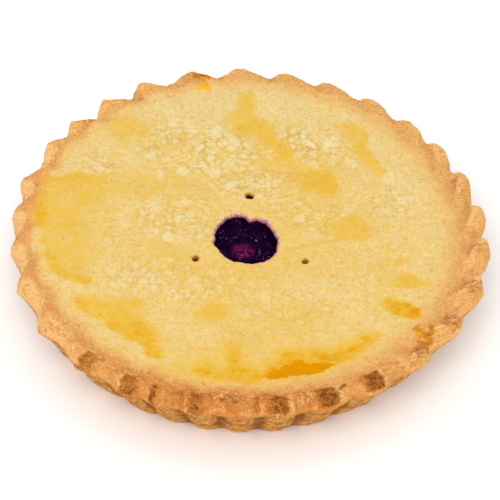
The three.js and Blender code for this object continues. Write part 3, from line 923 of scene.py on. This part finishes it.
def roughen_crust(mesh, hidden):
    """Moves the shown points along their normals, and keeps the fields of what was raised."""
    at = Places(mesh)
    crimp = smoothstep(*CRIMP, at.radius) * smoothstep(RIM_HEIGHT - 3, RIM_HEIGHT, at.z)
    side = smoothstep(RIM_HEIGHT, RIM_HEIGHT - 4, at.z) * smoothstep(1, 4, at.z)
    lid = smoothstep(LID_LEVEL, LID_LEVEL + 1, at.z) * (1 - crimp)
    blistered, plate, vein = blisters(at)
    bent = at.moved(at.drift((0.9, 2.6, 34)))
    plates = lid_spots(LARGE_PLATES, 1)
    large = ellipses(*bent, plates, 0.18)
    round_large = ellipses(*bent, plates, 0.7) * (1 - large)
    curled = strokes(at.x, at.y, CURLED_FLAKES)
    creased = strokes(at.x, at.y, CREASES)
    lid_forms = {
        "plate": plate, "vein": vein, "lump": clouds(at.points, 7, 6), "curl": curled,
        "crease": creased, "large plate": large,
    }
    crack = strokes(at.x, at.y, CRACKS) * smoothstep(31, 32, at.z)
    browned, highlit_ridge = rim_browning(at)
    push = lid * sum(RELIEF[name] * form for name, form in lid_forms.items())
    push += crimp * rim_relief(at) + side * wall_relief(at)
    push += RELIEF["browned"] * browned + RELIEF["highlit_ridge"] * highlit_ridge + RELIEF["crack"] * crack
    push *= (np.arange(len(push)) >= hidden) * smoothstep(0.2, 2, at.z)
    normals = read_vectors(mesh.vertex_normals, "vector")
    set_points(mesh, at.points + normals * push[:, None])
    set_fields(mesh, {
        "plate": lid * np.maximum.reduce([plate, curled, large]),
        "vein": lid * np.maximum.reduce([vein, creased, round_large]) * (1 - large),
        "crack": crack,
        "blister": lid * blistered,
    })


VENT_SIDES = 28
VENT_MOUTH = [(1.8, 1.6), (1.15, 0.2), (0.75, -0.9)]  # shares of the radius, heights from the lid


def vent_place(angle, distance):
    return distance * math.cos(math.radians(angle)), distance * math.sin(math.radians(angle))


def vent_cutter(angle, distance, depth):
    """A slightly uneven punch that narrows downwards."""
    x, y = vent_place(angle, distance)
    top = plain_lid_height(distance)
    turn = 2 * np.pi * np.arange(VENT_SIDES) / VENT_SIDES
    radius = VENT_RADIUS * (1 + 0.1 * np.sin(2 * turn + angle) + 0.05 * np.sin(5 * turn))
    profile = [*VENT_MOUTH, (0.65, -0.6 * depth), (0.55, -depth)]
    rings = [np.array([[x, y, top + profile[0][1]]])]
    for share, z in profile:
        ring_x, ring_y = x + share * radius * np.cos(turn), y + share * radius * np.sin(turn)
        rings.append(np.column_stack([ring_x, ring_y, np.full(VENT_SIDES, top + z)]))
    rings.append(np.array([[x, y, top - depth]]))
    return add_object("punch", ring_mesh("punch", rings))


def cut_vents(piece):
    """Cuts the vents, with the pastry's material on the cuts too."""
    for vent in VENTS:
        cutter = vent_cutter(*vent)
        cutter.data.materials.append(piece.data.materials[0])
        cut = piece.modifiers.new("cut", "BOOLEAN")
        cut.operation = "DIFFERENCE"
        cut.solver = "MANIFOLD"
        cut.object = cutter
        graph = bpy.context.evaluated_depsgraph_get()
        mesh = bpy.data.meshes.new_from_object(piece.evaluated_get(graph))
        piece.modifiers.clear()
        piece.data = mesh
        bpy.data.objects.remove(cutter)


def wash_depth(at, drift):
    """How deep the egg wash stands on the lid."""
    nearly = at.moved(drift, 0.8)
    wash = patches(*nearly, lid_outlines(WASH_PATCHES))
    wash = np.maximum(wash, strokes(*nearly, lid_outlines(WASH_STREAKS)))
    wash = np.maximum(wash, ellipses(*nearly, lid_spots(WASH_SPOTS), 0.9))
    wash += (1 - np.minimum(wash, 1)) * ellipses(*at.moved(drift), YELLOW, 0.9)
    return wash * (1 + 0.14 * clouds(at.flat, 9, 19) + 0.1 * clouds(at.flat, 3.5, 20))


def surface_fields(at, columns):
    """Bake, wash and glaze, and the side wall."""
    drift = at.drift((2.6, 11, 12), (1, 3, 15))
    run = at.moved(drift, 0.5)
    above = at.z > LID_LEVEL
    under = smoothstep(RIM_HEIGHT + 1, RIM_HEIGHT - 1.5, at.z)
    inside = (at.radius < LID_RADIUS - 4) & (at.z < 31)
    wash = wash_depth(at, drift)
    soaked = smoothstep(0.45, 0.8, wash) * (at.radius < 95) * above
    bake = np.where(inside, 0, np.maximum(rim_bake(at, columns), under)) * (1 - soaked)
    on_top = above * smoothstep(0.85, 0.35, bake)
    outer_pale = 0.8 * smoothstep(52, 80, at.radius) * (0.6 + 0.4 * at.facing(90))
    return {
        "bake": bake,
        "wash": wash * on_top,
        "pale": np.maximum(ellipses(*at.moved(drift), PALE, 0.8), outer_pale) * on_top,
        "glaze": strokes(*run, GLAZE) * above,
        "pool": ellipses(*run, GLAZE_POOLS, 0.5) * above,
        "side": under,
        # Where the side wall is painted darker between its ribs, partly browner crust and partly
        # shade.
        "groove": under * columns.at(at.degrees, 1 - columns.rib) / 2,
    }


def rim_fields(at):
    """The browned tops, the painted highlight on the ridges, the folds' painted shade and light, and
    the sides of the rim that differ.
    """
    browned, highlit_ridge = rim_browning(at)
    fold_shade, lit = rim_folds(at)
    return {
        "browned": browned,
        "highlit_ridge": highlit_ridge,
        # Painted shade on the flutes' lobes and hollows, and painted light on their facets.
        "hollow": fold_shade * smoothstep(*RIM_TOP, at.z),
        "lit": lit * smoothstep(RIM_HEIGHT - 1, RIM_HEIGHT + 1, at.z),
        "roast": nearness(at.degrees, *ROASTED_SIDE) * smoothstep(87, 98, at.radius),
        "rosy": smoothstep(0, 0.5, -at.facing(0)),
    }


def hole_fields(at):
    """Juice in and round the hole, and the scorched edges and dark depths of the vents."""
    hole_x, hole_y = at.x - HOLE_CENTRE[0], at.y - HOLE_CENTRE[1]
    from_hole = np.hypot(hole_x, hole_y) - hole_radius(np.arctan2(hole_y, hole_x))
    near_hole = smoothstep(8, 5, from_hole)
    depth = lid_height(at.x, at.y) - at.z
    from_vent = np.full(len(at.x), np.inf)
    deep = np.zeros(len(at.x))
    for angle, distance, bored in VENTS:
        vent_x, vent_y = vent_place(angle, distance)
        away = np.hypot(at.x - vent_x, at.y - vent_y)
        from_vent = np.minimum(from_vent, away)
        dark = min(1, bored / 4) * smoothstep(0.8, 1.5, depth)
        deep = np.maximum(deep, smoothstep(3, 1.7, away) * dark)
    scorched = 0.5 * smoothstep(3.6, 1.6, from_vent) * (at.z > 30)
    pricked = smoothstep(2.9, 1.7, from_vent) * smoothstep(0, 0.5, depth)
    return {
        "stain": near_hole * smoothstep(0.5, 2, depth),
        "halo": near_hole * smoothstep(1.5, -0.3, from_hole),
        "pricked": np.maximum(scorched, pricked),
        "deep": deep,
    }


SHARP_ANGLE = math.radians(60)


def make_crust(columns):
    """The pastry, as one closed piece."""
    rings, hidden = crust_rings(columns)
    mesh = ring_mesh("pie_crust", rings)
    roughen_crust(mesh, hidden)
    mesh.materials.append(pastry_material())
    piece = add_object("pie_crust", mesh)
    cut_vents(piece)
    at = Places(piece.data)
    for fields in (surface_fields(at, columns), rim_fields(at), hole_fields(at)):
        set_fields(piece.data, fields)
    piece.data.shade_smooth()
    piece.data.set_sharp_from_angle(angle=SHARP_ANGLE)
    return piece


# ---------------- the filling

LUMP = [(-1.9, -5.8, 5.2, 4.6, 0, 1)]  # a split berry, in the form of the spots
GEL_ROWS = 44
GEL_OVERLAP = 2  # the fine part of the filling's top ends this far outside the hole


def filling_height(x, y):
    """Height of the gel and the berries' crowns in the hole."""
    level = plain_lid_height(0) - LID_THICKNESS - GAP
    away = np.hypot(x - HOLE_CENTRE[0], y - HOLE_CENTRE[1]) / HOLE_RADIUS
    height = level + FILLING_BULGE * smoothstep(1.15, 0.5, away)
    for angle, distance, top in BERRIES:
        at_x = HOLE_CENTRE[0] + distance * math.cos(math.radians(angle))
        at_y = HOLE_CENTRE[1] + distance * math.sin(math.radians(angle))
        off = np.hypot(x - at_x, y - at_y) / BERRY_RADIUS
        crown = level + BERRY_LEVEL * FILLING_BULGE + top - BERRY_SUNK
        crown = crown + BERRY_SUNK * np.sqrt(np.clip(1 - off**2, 0, 1))
        height = np.maximum(height, crown)
    return height


def make_filling(columns):
    """The gel and its berries, which run through the pie under the lid."""
    medium = columns.every(6)
    coarse = columns.every(12)
    rings = [np.array([[*HOLE_CENTRE, 0]])]
    for share in shares(GEL_ROWS):
        ring = polar(medium, (HOLE_RADIUS + GEL_OVERLAP) * share, 0)
        ring[:, :2] += HOLE_CENTRE
        rings.append(ring)
    for ring in rings:
        ring[:, 2] = filling_height(ring[:, 0], ring[:, 1])
    rings += [polar(coarse, radius, z) for radius, z in reversed(inside_profile(GAP))]
    rings.append(np.array([[0, 0, FLOOR_THICKNESS + GAP]]))
    mesh = ring_mesh("berry_filling", rings)
    x, y, _ = mesh_points(mesh).T
    set_fields(mesh, {"lump": ellipses(x, y, LUMP)})
    mesh.materials.append(berry_material())
    mesh.shade_smooth()
    return add_object("berry_filling", mesh)


# ---------------- materials


# Fixed values of the shaders.
PASTRY = {
    "Roughness": 0.68,
    "Specular IOR Level": 0.012,
    "Subsurface Weight": 0.05,
    "Subsurface Radius": (1, 0.55, 0.25),
    "Subsurface Scale": MM,
}
BERRY = {"Roughness": 0.45, "Specular IOR Level": 0.012}
FLOOR = {"Roughness": 0.8, "Specular IOR Level": 0.1}
LID_SHARE = 0.757  # the lid's tones are darkened by this, as more light falls on it than on the rim


def lid_tone(red, green, blue):
    """A colour as the lid shows it in this light, which falls on it more fully than on the rim."""
    return (*(LID_SHARE * value for value in srgb(red, green, blue)[:3]), 1)


class Paint:
    """Writes a material's nodes, and keeps the colour that they have come to."""

    def __init__(self, name):
        self.material = bpy.data.materials.new(name)
        self.material.use_nodes = True
        self.tree = self.material.node_tree
        self.shader = self.tree.nodes["Principled BSDF"]
        self.place = self.tree.nodes.new("ShaderNodeTexCoord").outputs["Object"]
        self.colour = None

    def add(self, kind, inputs, **settings):
        """A node with its settings, and with values or other nodes' outputs on its inputs."""
        node = self.tree.nodes.new("ShaderNode" + kind)
        for name, value in settings.items():
            setattr(node, name, value)
        for name, value in inputs.items():
            if isinstance(value, bpy.types.NodeSocket):
                self.tree.links.new(value, node.inputs[name])
            else:
                node.inputs[name].default_value = value
        return node.outputs

    def math(self, operation, first, second):
        return self.add("Math", {0: first, 1: second}, operation=operation)[0]

    def times(self, first, *others):
        for other in others:
            first = self.math("MULTIPLY", first, other)
        return first

    def plus(self, value, *noises):
        """A value with noises added that swing about 0, each given with its swing."""
        for noise_value, swing in noises:
            centred = self.math("SUBTRACT", noise_value, 0.5)
            value = self.math("ADD", value, self.times(centred, 2 * swing))
        return value

    def ramp(self, value, low, high):
        inputs = {"Value": value, "From Min": low, "From Max": high}
        return self.add("MapRange", inputs, interpolation_type="SMOOTHSTEP")["Result"]

    def mix(self, share, first, second):
        return self.add("Mix", {0: share, 6: first, 7: second}, data_type="RGBA")[2]

    def cover(self, tone, *shares):
        """Lays a tone over the colour so far, as much as the product of the shares says."""
        self.colour = self.mix(self.times(*shares), self.colour, tone)

    def field(self, name):
        return self.add("Attribute", {}, attribute_name=name)["Fac"]

    def broken(self, name, low, high, *noises):
        """A field's share from low to high, broken up by noises, but only where the field is."""
        share = self.ramp(self.plus(self.field(name), *noises), low, high)
        return self.times(share, self.ramp(self.field(name), 0, 0.15))

    def noise(self, size, detail=3, roughness=0.5, shift=0):
        """Cloudy noise around 0.5 with lumps of about that size."""
        start = (shift, 0.7 * shift, 0.3 * shift)
        moved = self.add("VectorMath", {0: self.place, 1: start}, operation="ADD")[0]
        inputs = {"Vector": moved, "Scale": 1 / (size * MM), "Detail": detail}
        return self.add("TexNoise", {**inputs, "Roughness": roughness})["Fac"]

    def cells(self, size, dimensions):
        """Distance from the middles of cells of about that size, and a draw for each cell."""
        inputs = {"Vector": self.place, "Scale": 1 / (size * MM)}
        cell = self.add("TexVoronoi", inputs, feature="F1", voronoi_dimensions=dimensions)
        return cell["Distance"], self.add("SeparateColor", {0: cell["Color"]})[0]

    def pebbles(self, size, share):
        """Uneven pebbles in a share of the cells: inside them, and the rings round them."""
        distance, lot = self.cells(size, "2D")
        chosen = self.ramp(lot, share + 0.1, share - 0.1)
        distance = self.plus(distance, (self.noise(0.7 * size, 3, 0.6), 0.7))
        inside = self.ramp(distance, 0.44, 0.3)
        ring = self.times(self.ramp(distance, 0.36, 0.46), self.ramp(distance, 0.7, 0.52))
        return self.times(inside, chosen), self.times(ring, chosen)

    def specks(self, size, reach, share):
        """Round specks in a share of the cells: 1 inside, 0 outside."""
        distance, lot = self.cells(size, "3D")
        chosen = self.math("LESS_THAN", lot, share)
        return self.times(self.ramp(distance, reach, 0.5 * reach), chosen)

    def flakes(self, size, shift):
        """Thin flakes' broken edges in paint only: a line of painted light, and the gap's painted
        shade.
        """
        height = self.noise(size, 4, 0.6, shift)
        somewhere = self.ramp(self.noise(4 * size, 2, 0.5, shift + 5), 0.5, 0.58)
        lit = self.times(self.ramp(height, 0.495, 0.52), self.ramp(height, 0.62, 0.53))
        gap = self.times(self.ramp(height, 0.38, 0.47), self.ramp(height, 0.505, 0.49))
        return self.times(lit, somewhere), self.times(gap, somewhere)

    def bump(self, height, distance, **below):
        return self.add("Bump", {"Height": height, "Distance": distance * MM, **below})["Normal"]

    def finish(self, values, normal=None):
        """Gives the shader its colour, its fixed values and its bumps."""
        self.tree.links.new(self.colour, self.shader.inputs["Base Color"])
        if normal is not None:
            self.tree.links.new(normal, self.shader.inputs["Normal"])
        for name, value in values.items():
            self.shader.inputs[name].default_value = value
        return self.material


def paint_lid(p):
    """The lid's pale ground with its plates and veins, and the wash on it."""
    grain = p.noise(1.5, 4, 0.7, 0.3)
    coarse = p.noise(4, 4, 0.6)
    blistered = p.field("blister")
    ground = p.ramp(p.noise(13, 3), 0.35, 0.65)
    p.colour = p.mix(ground, lid_tone(240, 201, 106), lid_tone(241, 209, 128))
    p.cover(lid_tone(242, 218, 154), p.field("pale"))
    p.cover(lid_tone(244, 220, 172), p.ramp(grain, 0.48, 0.62), 0.7)
    p.cover(lid_tone(240, 196, 78), p.ramp(grain, 0.52, 0.38), 0.75)
    p.cover(lid_tone(246, 230, 176), p.field("plate"), 0.9)
    p.cover(lid_tone(228, 180, 68), p.field("vein"), 0.7)
    for size, share in PEBBLES:
        inside, ring = p.pebbles(size, share)
        p.cover(lid_tone(230, 188, 88), ring, blistered, 0.6)
        p.cover(lid_tone(246, 228, 172), inside, blistered, 0.65)
    fine = p.noise(0.6, 2, 0.7, 1.4)
    wash = p.plus(p.field("wash"), (coarse, 0.22), (grain, 0.2), (fine, 0.16))
    p.cover(lid_tone(241, 197, 84), p.ramp(wash, 0.02, 0.4))
    p.cover(lid_tone(238, 176, 28), p.ramp(wash, 0.36, 0.72))
    p.cover(lid_tone(230, 152, 0), p.ramp(wash, 0.62, 0.78))


def paint_rim(p):
    """The rim's tan over the lid, speckled, with painted shade and light on the flutes' folds and on
    flakes, painted highlights on the ridges, cracks painted dark as shade, and browned tops.
    """
    coarse = p.noise(2.8, 4, 0.65, 0.7)
    fine = p.noise(0.7, 3, 0.75, 0.1)
    finest = p.noise(0.6, 2, 0.8, 2.7)
    p.cover(lid_tone(242, 188, 110), p.broken("bake", 0.05, 0.8, (fine, 1.2), (coarse, 0.4)))
    specks = p.broken("bake", 0.65, 0.95, (finest, 1.6), (coarse, 0.6))
    p.cover(lid_tone(230, 152, 80), specks, 0.75)
    p.cover(srgb(254, 193, 116), p.broken("bake", 0.55, 1.1, (fine, 1), (coarse, 0.4)))
    # Painted shade on the flutes' lobes and hollows, a little redder on the left.
    fold_shade = p.mix(p.field("rosy"), srgb(212, 150, 88), srgb(224, 152, 88))
    p.cover(fold_shade, p.broken("hollow", 0.1, 0.9, (fine, 0.8)), 0.65)
    # Painted light on the flutes' facets.
    p.cover(srgb(255, 207, 138), p.broken("lit", 0.1, 0.9, (fine, 0.7)), 0.7)
    p.cover(srgb(206, 122, 44), p.broken("roast", 0.1, 1.1, (fine, 0.5), (coarse, 0.6)))
    on_rim = p.ramp(p.field("bake"), 0.25, 0.95)
    p.cover(srgb(252, 198, 126), p.ramp(p.noise(6, 4, 0.6, 1.3), 0.5, 0.66), on_rim, 0.4)
    speckled = p.times(on_rim, p.plus(0.7, (p.field("roast"), 0.17)))
    p.cover(srgb(228, 134, 62), p.ramp(fine, 0.49, 0.36), speckled)
    p.cover(srgb(255, 214, 150), p.ramp(fine, 0.52, 0.62), speckled, 0.7)
    # Flakes on the rim: painted light on their edges and painted shade in the gaps beside them.
    flake_light, flake_shade = p.flakes(3.2, 0.9)
    crumbly = p.times(on_rim, p.plus(0.4, (p.field("roast"), 0.3)))
    p.cover(srgb(248, 190, 116), flake_light, crumbly)
    p.cover(srgb(166, 92, 36), flake_shade, crumbly)
    # Painted highlight along the raised ridges.
    p.cover(srgb(255, 204, 134), p.field("highlit_ridge"), 0.7)
    # Cracks painted dark: painted shade in them.
    p.cover(srgb(130, 72, 28), p.field("crack"), 0.8)
    browned = p.plus(p.field("browned"), (fine, 1.1), (coarse, 0.9))
    p.cover(srgb(192, 120, 54), p.ramp(browned, 0.2, 0.75))
    p.cover(srgb(122, 66, 20), p.ramp(browned, 0.6, 1.3))


def paint_wall(p):
    """The side wall under the rim, with flakes in painted light and shade, and darker in the grooves
    between its ribs, partly browner crust and partly painted shade.
    """
    above = p.colour
    layers = p.ramp(p.noise(3, 5, 0.7, 0.9), 0.38, 0.62)
    p.colour = p.mix(layers, srgb(190, 117, 50), srgb(234, 174, 94))
    p.cover(srgb(156, 92, 40), p.ramp(p.noise(1.1, 3, 0.75, 1.1), 0.45, 0.3), 0.6)
    # Flakes on the wall: painted light on their edges and painted shade in the gaps beside them.
    flake_light, flake_shade = p.flakes(2, 1.9)
    p.cover(srgb(248, 204, 132), flake_light, 0.5)
    p.cover(srgb(140, 80, 34), flake_shade, 0.5)
    # Darker in the grooves between the ribs: partly browner crust, partly painted shade.
    deep = p.plus(p.field("groove"), (p.noise(4, 4, 0.6, 1.7), 0.8))
    p.cover(srgb(150, 96, 41), p.ramp(deep, 0.4, 1.1))
    p.colour = p.mix(p.field("side"), above, p.colour)


def paint_glaze(p):
    """The glaze that ran over the rim, and the yellow pools in it."""
    glaze = p.plus(p.field("glaze"), (p.noise(1.6, 4, 0.75, 2.1), 0.9))
    p.cover(srgb(214, 138, 42), p.ramp(glaze, 0.3, 0.75))
    p.cover(srgb(180, 98, 24), p.ramp(glaze, 0.8, 1.15))
    pool = p.plus(p.field("pool"), (p.noise(1.5, 3), 0.4))
    p.cover(srgb(228, 168, 24), p.ramp(pool, 0.35, 0.8))


def paint_holes(p):
    """The juice in and round the hole, and the vents' scorched edges and dark depths."""
    noises = (p.noise(0.45, 2, 0.6, 0.8), 1.5), (p.noise(1.8, 2), 0.5)
    p.cover(lid_tone(182, 104, 150), p.broken("halo", 0.35, 0.75, *noises), 0.95)
    p.cover(srgb(72, 8, 44), p.broken("stain", 0.4, 0.6, (p.noise(0.9, 3, 0.6, 1.8), 0.6)))
    pricked = p.broken("pricked", 0.25, 0.9, (p.noise(0.8, 2, 0.6, 2.2), 0.5))
    p.cover(srgb(172, 98, 36), pricked)
    p.cover(srgb(22, 4, 14), p.field("deep"))


def pastry_bumps(p):
    """Grain and lumps, rougher where the crust is baked, with the pebbles on top."""
    rough = p.math("ADD", p.times(p.ramp(p.field("bake"), 0.3, 0.9), 0.65), 0.35)
    grain = p.times(p.plus(0, (p.noise(0.9, 3, 0.75), 0.5)), rough)
    lumps = p.times(p.plus(0, (p.noise(2.6, 4, 0.7, 0.2), 0.5)), rough)
    raised, _ = p.pebbles(*PEBBLES[0])
    under = p.bump(lumps, 1, Normal=p.bump(grain, 1.3))
    return p.bump(p.times(p.field("blister"), raised), 0.2, Normal=under)


def pastry_material():
    p = Paint("baked_pastry")
    for layer in (paint_lid, paint_rim, paint_wall, paint_glaze, paint_holes):
        layer(p)
    p.cover(srgb(178, 104, 44), p.specks(4.5, 0.08, 0.04), 0.8)
    return p.finish(PASTRY, pastry_bumps(p))


def berry_material():
    p = Paint("berry_gel")
    deep = p.mix(p.ramp(p.noise(3, 3), 0.4, 0.7), srgb(10, 0, 20), srgb(26, 0, 36))
    flesh = p.mix(p.ramp(p.noise(1.6, 3), 0.4, 0.6), srgb(54, 0, 40), srgb(92, 12, 70))
    p.colour = p.mix(p.field("lump"), deep, flesh)
    glint = p.ramp(p.noise(0.6, 1, 0.5, 0.4), 0.68, 0.74)
    p.cover(srgb(214, 160, 200), glint, p.ramp(p.noise(5, 2, 0.5, 0.6), 0.5, 0.62))
    return p.finish(BERRY, p.bump(p.noise(1.2, 3, 0.6), 0.3))


def floor_material():
    p = Paint("pale_floor")
    p.colour = p.mix(p.noise(400, 2), srgb(240, 240, 240), srgb(244, 244, 244))
    return p.finish(FLOOR)


# ---------------- camera, floor and light

CAMERA_ELEVATION = math.radians(45.4)
CAMERA_ROLL = math.radians(2.593)
CAMERA_DISTANCE = 1629.75
FRAME_PIXELS = 500
FOCAL_PIXELS = 3759
SENSOR_WIDTH = 36
AIM_OFFSET = (1.084, -3.642)  # from the rim's middle, along the picture's right and up
FLOOR_HALF = 4  # metres
KEY_PLACE = (-0.15, -1, 1.25)  # metres
KEY_SIZE = 0.9
KEY_ENERGY = 12
KEY_COLOUR = (1, 0.98, 0.95)
SKY_COLOUR = (1, 1, 1, 1)
CLIP = (0.05, 50)  # metres
SKY_STRENGTH = 1.055


def make_camera():
    """Stands where the photograph was taken from, with its roll."""
    data = bpy.data.cameras.new("camera")
    data.sensor_width = SENSOR_WIDTH
    data.lens = FOCAL_PIXELS / FRAME_PIXELS * SENSOR_WIDTH
    data.clip_start, data.clip_end = CLIP
    camera = add_object("camera", data)
    tilt = Matrix.Rotation(math.pi / 2 - CAMERA_ELEVATION, 4, "X")
    turn = tilt @ Matrix.Rotation(CAMERA_ROLL, 4, "Z")
    back = Matrix.Translation(Vector((*AIM_OFFSET, CAMERA_DISTANCE)) * MM)
    camera.matrix_world = Matrix.Translation((0, 0, RIM_HEIGHT * MM)) @ turn @ back
    bpy.context.scene.camera = camera


def make_floor():
    mesh = bpy.data.meshes.new("floor")
    corners = [(x * FLOOR_HALF, y * FLOOR_HALF, 0) for x, y in ((-1, -1), (1, -1), (1, 1), (-1, 1))]
    mesh.from_pydata(corners, [], [(0, 1, 2, 3)])
    mesh.materials.append(floor_material())
    add_object("floor", mesh)


def make_light():
    world = bpy.data.worlds.new("studio")
    world.use_nodes = True
    background = world.node_tree.nodes["Background"]
    background.inputs["Color"].default_value = SKY_COLOUR
    background.inputs["Strength"].default_value = SKY_STRENGTH
    bpy.context.scene.world = world
    data = bpy.data.lights.new("key", "AREA")
    data.shape = "DISK"
    data.size = KEY_SIZE
    data.energy = KEY_ENERGY
    data.color = KEY_COLOUR
    light = add_object("key", data)
    light.location = KEY_PLACE
    light.rotation_euler = (-Vector(KEY_PLACE)).to_track_quat("-Z", "Y").to_euler()
    bpy.context.scene.view_settings.view_transform = "Standard"


# ---------------- the pie

columns = Columns()
crust = make_crust(columns)
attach(crust, "root")
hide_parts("crust")

filling = make_filling(columns)
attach(filling, "root")
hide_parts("filling")

make_camera()
make_floor()
make_light()
